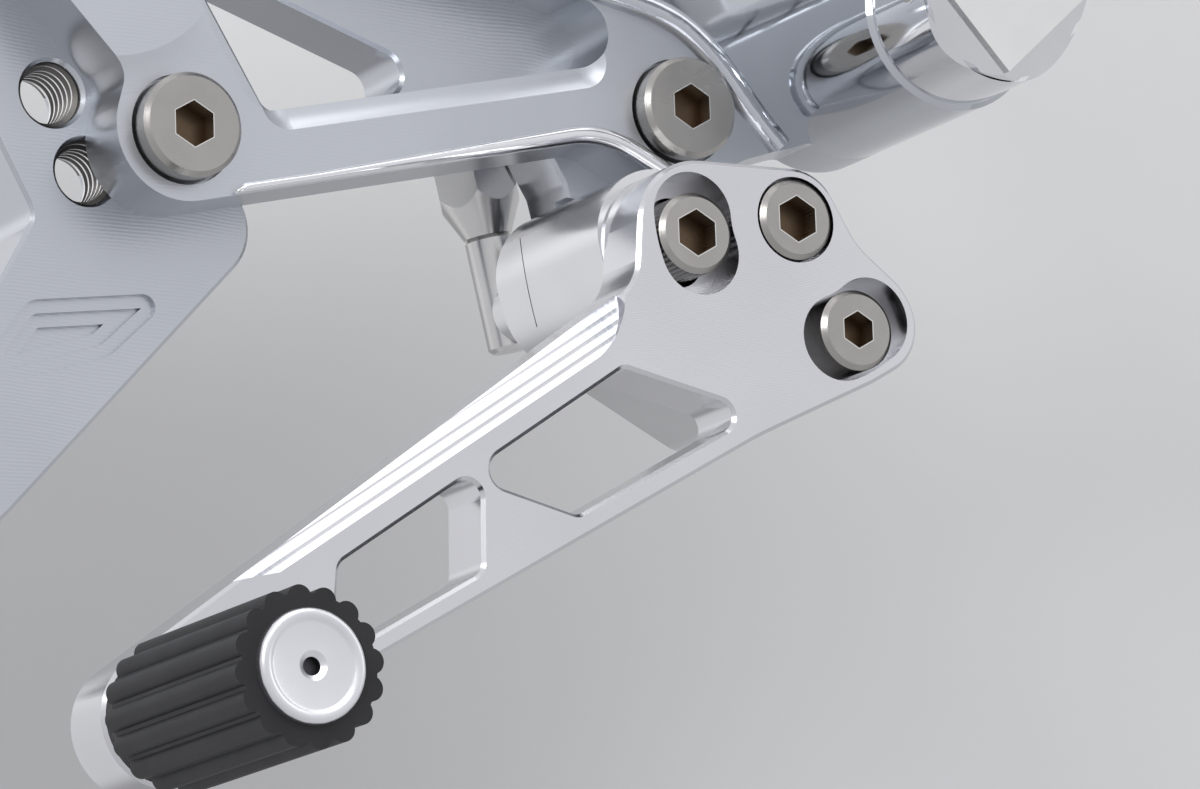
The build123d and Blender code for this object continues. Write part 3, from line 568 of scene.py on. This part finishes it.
def lower_bead():
    """Polished bead that stands up along the lower edge of the carrier, widening to the rear."""
    half_width, widening, height_start, height_gain = 0.62, 0.55, 0.95, 0.25
    grow_from, grow_over = 10, 34.0
    slant_start, slant_over = 1.6, 5.0
    sunk, root_depth, edge_inset = 0.02, 0.5, 0.1
    arc_steps = 12
    points = bead_route()
    rings = []
    for i, point in enumerate(points):
        before, after = points[max(i - 1, 0)], points[min(i + 1, len(points) - 1)]
        along = (after - before).normalized()
        inward = Vector((-along.y, along.x))
        grow = min(max((i - grow_from) / grow_over, 0.0), 1.0)
        half = half_width + widening * grow
        height = height_start + height_gain * grow
        across_way = inward + along * slant_start * max(1.0 - i / slant_over, 0.0)
        ring = []
        for k in range(arc_steps + 1):
            angle = math.pi * k / arc_steps
            place = point + across_way * half * (1.0 - math.cos(angle))
            out = CARRIER_FACE - sunk + height * math.sin(angle)
            ring.append(side_point(place.x, out, place.y))
        for low in (point + across_way * 2.0 * half, point + inward * edge_inset):
            ring.append(side_point(low.x, CARRIER_FACE - root_depth, low.y))
        rings.append(ring)
    piece = loft("carrier_bead", rings, POLISHED, "base")


def cap_profile():
    """Radius and distance outward along the toe cap, from its drilled hole to its seat."""
    seat = TOE_CAP_SEAT
    rim_center, rim_out, rim_radius, rim_steps = 5.70, 1.10, 0.80, 8
    profile = [(0.0, seat + 0.05), (1.05, seat + 0.05), (1.05, seat + 1.05), (1.70, seat + 1.50)]
    profile += [(4.75, seat + 1.50), (5.05, seat + 1.60), (5.35, seat + 1.84)]
    for i in range(rim_steps + 1):
        angle = math.pi / 2 * i / rim_steps
        profile.append((rim_center + rim_radius * math.sin(angle),
                        seat + rim_out + rim_radius * math.cos(angle)))
    profile += [(6.50, seat + 0.30), (6.50, seat), (4.00, seat)]
    return profile


def toe_cap():
    """Turned cap with a raised polished rim, a brushed face and a countersunk drilled hole, whose
    floor and wall carry a painted shadow.
    """
    steps = 96
    shaded_hole_stretches = 2
    mesh = bmesh.new()
    rows = [[mesh.verts.new(round_point(TOE_CENTER, radius, 2 * math.pi * i / steps, out))
             for radius, out in cap_profile()] for i in range(steps)]
    for i, first in enumerate(rows):
        second = rows[(i + 1) % steps]
        for k in range(len(first) - 1):
            face = mesh.faces.new((first[k], second[k], second[k + 1], first[k + 1]))
            # The hole's floor and wall take the painted shadow.
            face.material_index = 1 if k < shaded_hole_stretches else 0
    mesh.faces.new([row[-1] for row in rows])
    bmesh.ops.remove_doubles(mesh, verts=mesh.verts, dist=WELD_DISTANCE)
    piece = to_object("toe_cap_turned", mesh, CAP_FACE, "lever")
    piece.data.materials.append(PAINTED_SHADOW)
    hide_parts("toe_cap")
    piece.data.set_sharp_from_angle(angle=SHARP_ANGLE)


def pixel_ray(px, py):
    """Direction from the camera through a pixel of the photograph."""
    scale = SENSOR_MM / LENS_MM / PHOTO_WIDTH
    return (forward + right * (px - PHOTO_WIDTH / 2) * scale
            + up * (PHOTO_HEIGHT / 2 - py) * scale).normalized()


def curve_value(share, first, middle, last):
    """Value on a smooth curve that passes its middle value half way."""
    control = 2 * middle - (first + last) / 2
    return (1 - share) ** 2 * first + 2 * share * (1 - share) * control + share ** 2 * last


def hub_seam_shadow():
    """Thin dark strip of painted shadow along a seam round the hub, laid on the hub's surface."""
    seam_pixels = ((520.0, 238.0), (526.6, 282.0), (537.0, 327.0))
    steps = 24
    half, rise = 0.10 * MM, 0.03 * MM
    hub = nodes["lever_hub"]
    surface = BVHTree.FromPolygons([v.co.copy() for v in hub.data.vertices],
                                   [list(p.vertices) for p in hub.data.polygons])
    line = []
    for i in range(steps + 1):
        px, py = [curve_value(i / steps, *values) for values in zip(*seam_pixels)]
        hit, normal, _, _ = surface.ray_cast(CAMERA_AT, pixel_ray(px, py))
        if hit is not None:
            line.append((hit, normal))
    rings = []
    for i, (hit, normal) in enumerate(line):
        ahead = (line[min(i + 1, len(line) - 1)][0] - line[max(i - 1, 0)][0]).normalized()
        side = ahead.cross(normal).normalized()
        rings.append([hit - side * half - normal * rise, hit - side * half * 0.5 + normal * rise,
                      hit + side * half * 0.5 + normal * rise, hit + side * half - normal * rise])
    piece = loft("hub_seam_shadow", rings, PAINTED_SHADOW, "lever")


for name, center in THREADED_HOLES.items():
    tapped_thread(name, center)
lower_bead()
toe_cap()
hub_seam_shadow()


# Stage: camera, pale sheet behind the part, lamps and world

SHEET_DISTANCE = 0.955
SHEET_HALF = 0.9
LAMPS_AIM = Vector((0.03, -0.03, -0.03))

# Lamps: direction from the part, distance, size and power in watts
LAMPS = {
    "top_softbox": ((0.42, -0.55, 0.78), 1.1, (1.2, 0.7), 3.7),
    "left_key": ((-0.45, -0.60, 0.70), 1.0, (0.35, 0.35), 2.4),
    "right_softbox": ((0.95, -0.45, -0.05), 1.2, (0.7, 0.9), 1.6),
}


def photo_camera():
    """Camera square to the sheet, at the photograph's viewing angle."""
    data = bpy.data.cameras.new("photo_camera")
    data.sensor_width = SENSOR_MM
    data.lens = LENS_MM
    data.clip_start, data.clip_end = 0.01, 50.0
    camera = bpy.data.objects.new("photo_camera", data)
    turn = Matrix((right, up, -forward)).transposed().to_4x4()
    camera.matrix_world = Matrix.Translation(CAMERA_AT) @ turn
    bpy.context.scene.collection.objects.link(camera)
    bpy.context.scene.camera = camera


def tinted_grey(tree, grey, shares):
    """Colour whose channels are shares of one grey."""
    color = make(tree, "CombineColor")
    for channel, share in zip(("Red", "Green", "Blue"), shares):
        tree.links.new(product(tree, grey, share), color.inputs[channel])
    return color.outputs["Color"]


def sheet_color(tree, middle):
    """Grey with painted light: painted shade darkens it to the left, a painted pool of light
    lightens it upwards on the left, and it pales to a white card far to the left.
    """
    place = place_on_object(tree)

    def run(axis, low, high, first, last):
        reach = distance_along(tree, place, middle, axis)
        return remap(tree, reach, first, last, low, high, "SMOOTHSTEP")

    # Painted light falloff across the sheet, and a painted pool of light high on its left.
    painted_falloff = run(right, -0.095, 0.055, 0.45, 0.70)
    painted_glow = run(up, -0.01, 0.065, 0.0, 0.26)
    left = run(right, -0.06, 0.02, 1.0, 0.0)
    card = run(right, -0.20, -0.10, 0.42, 0.0)
    grey = math_node(tree, "ADD", painted_falloff, product(tree, painted_glow, left))
    return tinted_grey(tree, math_node(tree, "ADD", grey, card), (1.0, 1.0, 1.0))


def backdrop():
    """Pale sheet close behind the part, square to the view and clear from behind."""
    middle = CAMERA_AT + forward * SHEET_DISTANCE
    corners = [middle + right * a * SHEET_HALF + up * b * SHEET_HALF
               for a, b in ((-1, -1), (1, -1), (1, 1), (-1, 1))]
    mesh = bpy.data.meshes.new("backdrop")
    mesh.from_pydata([tuple(corner) for corner in corners], [], [(0, 1, 2, 3)])
    material = bpy.data.materials.new("pale_backdrop")
    material.use_nodes = True
    tree = material.node_tree
    tree.nodes.clear()
    diffuse = make(tree, "BsdfDiffuse")
    tree.links.new(sheet_color(tree, middle), diffuse.inputs["Color"])
    choose = make(tree, "MixShader")
    tree.links.new(make(tree, "NewGeometry").outputs["Backfacing"], choose.inputs[0])
    tree.links.new(diffuse.outputs[0], choose.inputs[1])
    tree.links.new(make(tree, "BsdfTransparent").outputs[0], choose.inputs[2])
    tree.links.new(choose.outputs[0], make(tree, "OutputMaterial").inputs["Surface"])
    mesh.materials.append(material)
    sheet = bpy.data.objects.new("backdrop", mesh)
    bpy.context.scene.collection.objects.link(sheet)


def softbox(name, toward, distance, size, watts):
    """Rectangular lamp that looks at the middle of the part from one direction."""
    data = bpy.data.lights.new(name, "AREA")
    data.shape = "RECTANGLE"
    data.size, data.size_y = size
    data.energy = watts
    lamp = bpy.data.objects.new(name, data)
    direction = Vector(toward).normalized()
    lamp.location = LAMPS_AIM + direction * distance
    lamp.rotation_euler = direction.to_track_quat("Z", "Y").to_euler()
    bpy.context.scene.collection.objects.link(lamp)


def studio_world():
    """Soft surroundings, lighter above and to the rear than below and to the front."""
    plain, gain_up, gain_rear = 0.80, 0.13, 0.12
    tint = (0.985, 0.99, 1.02)
    world = bpy.data.worlds.new("studio")
    bpy.context.scene.world = world
    world.use_nodes = True
    tree = world.node_tree
    x, _, z = split_vector(tree, make(tree, "TexCoord").outputs["Generated"])
    grey = math_node(tree, "ADD", product(tree, z, gain_up), plain)
    grey = math_node(tree, "ADD", grey, product(tree, x, gain_rear))
    background = tree.nodes["Background"]
    tree.links.new(tinted_grey(tree, grey, tint), background.inputs["Color"])
    background.inputs["Strength"].default_value = 1.0


photo_camera()
backdrop()
for name, lamp in LAMPS.items():
    softbox(name, *lamp)
studio_world()

bpy.context.scene.view_settings.view_transform = "Standard"
